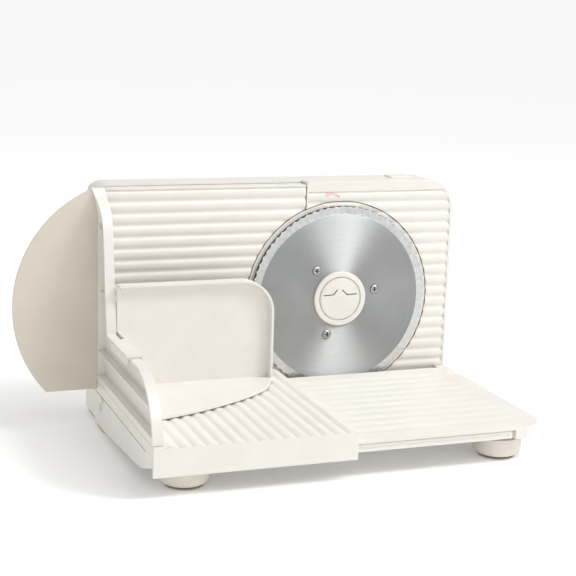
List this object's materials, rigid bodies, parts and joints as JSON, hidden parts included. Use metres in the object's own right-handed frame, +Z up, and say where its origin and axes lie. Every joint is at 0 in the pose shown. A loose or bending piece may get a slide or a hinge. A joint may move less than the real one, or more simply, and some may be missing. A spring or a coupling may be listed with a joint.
{
  "type": "electric food slicer",
  "caption": "Electric food slicer with a round serrated blade, a sliding carriage with guard and pusher, a thickness plate and a ribbed table that folds up.",
  "frame": {"origin": "on the floor, under the middle of the box round the whole slicer at rest", "axes": "+Z up, +X to the right of someone facing the blade, +Y from the table towards the back of the housing"},
  "size_m": [0.4559, 0.296, 0.2343],
  "materials": {
    "ivory": "satin",
    "blade_steel": "brushed in circles",
    "steel": "satin",
    "rubber": "matte",
    "dark_plastic": "matte",
    "white_plastic": "satin",
    "brass": "satin",
    "board": "matte"
  },
  "bodies": {
    "base": {"front_frame": "ivory", "hinge_ear_left": "ivory", "hinge_ear_right": "ivory", "rear_housing": "ivory", "housing_screw_1": "steel", "housing_screw_2": "steel", "housing_screw_3": "steel", "housing_screw_4": "steel", "cord_gland": "white_plastic", "rear_pad_left": "rubber", "rear_pad_right": "rubber", "ear_pad_left": "rubber", "ear_pad_right": "rubber", "axle_bush": "brass", "worm_bearing": "white_plastic", "motor": "steel", "motor_bracket": "steel", "bracket_screw_1": "steel", "bracket_screw_2": "steel", "button_spring": "steel", "power_switch": "dark_plastic", "control_board": "board", "hinge_pin_left": "steel", "hinge_pin_right": "steel"},
    "gauge": {"gauge_plate": "ivory", "gauge_slide": "white_plastic", "follower_pin": "steel", "slide_screw_1": "steel", "slide_screw_2": "steel"},
    "dial": {"thickness_dial": "ivory", "dial_cam_shaft": "steel"},
    "blade_rotor": {"blade": "blade_steel", "hub_ring": "ivory", "blade_carrier": "white_plastic", "blade_screw_1": "steel", "blade_screw_2": "steel", "blade_screw_3": "steel", "blade_axle": "steel", "drive_gear": "white_plastic"},
    "blade_lock": {"blade_lock_cap": "ivory"},
    "worm_rotor": {"motor_worm": "brass"},
    "button": {"power_button": "ivory"},
    "table": {"folding_table": "ivory", "foot_left": "ivory", "foot_right": "ivory", "suction_cup_left": "rubber", "suction_cup_right": "rubber"},
    "carriage_guide": {"guide_bar": "ivory"},
    "carriage": {"carriage_tray": "ivory", "carriage_wall": "ivory", "wall_screw_1": "steel", "wall_screw_2": "steel", "blade_guard": "ivory", "guard_screw_1": "steel", "guard_screw_2": "steel", "guard_screw_3": "steel"},
    "food_pusher": {"pusher": "ivory"}
  },
  "joints": [
    {"name": "table_fold", "type": "hinge", "parent": "base", "child": "table", "pos_m": [0.04, 0.04446, 0.0235], "axis": [-1, 0, 0], "range_deg": [0, 90]},
    {"name": "carriage_lift_off", "type": "slide", "parent": "table", "child": "carriage_guide", "axis": [0, -1, 0], "range_m": [0, 0.4]},
    {"name": "carriage_stroke", "type": "slide", "parent": "carriage_guide", "child": "carriage", "axis": [1, 0, 0], "range_m": [0, 0.17]},
    {"name": "pusher_slide", "type": "slide", "parent": "carriage", "child": "food_pusher", "axis": [0, 1, 0], "range_m": [-0.05, 0.025]},
    {"name": "thickness_dial_turn", "type": "hinge", "parent": "base", "child": "dial", "pos_m": [-0.045, 0.12996, 0.118], "axis": [0, 1, 0], "range_deg": [0, 300]},
    {"name": "gauge_travel", "type": "slide", "parent": "base", "child": "gauge", "axis": [0, 1, 0], "range_m": [0, 0.015]},
    {"name": "blade_spin", "type": "hinge", "parent": "base", "child": "blade_rotor", "pos_m": [0.1035, 0.06996, 0.1135], "axis": [0, 1, 0], "continuous": true},
    {"name": "blade_lock_turn", "type": "hinge", "parent": "blade_rotor", "child": "blade_lock", "pos_m": [0.1035, 0.06996, 0.1135], "axis": [0, 1, 0], "range_deg": [0, 90]},
    {"name": "worm_spin", "type": "hinge", "parent": "base", "child": "worm_rotor", "pos_m": [0.1035, 0.10896, 0.0765], "axis": [1, 0, 0], "continuous": true},
    {"name": "power_button_press", "type": "slide", "parent": "base", "child": "button", "axis": [0, 0, -1], "range_m": [0, 0.0025], "stiffness_N_per_m": 300, "springref_m": -0.003, "deforming": ["button_spring"]}
  ],
  "couplings": [
    {"joint": "carriage_lift_off", "follows": "table_fold", "m_per_rad": 0.25},
    {"joint": "thickness_dial_turn", "follows": "gauge_travel", "rad_per_m": 349.06},
    {"joint": "worm_spin", "follows": "blade_spin", "ratio": -40}
  ]
}
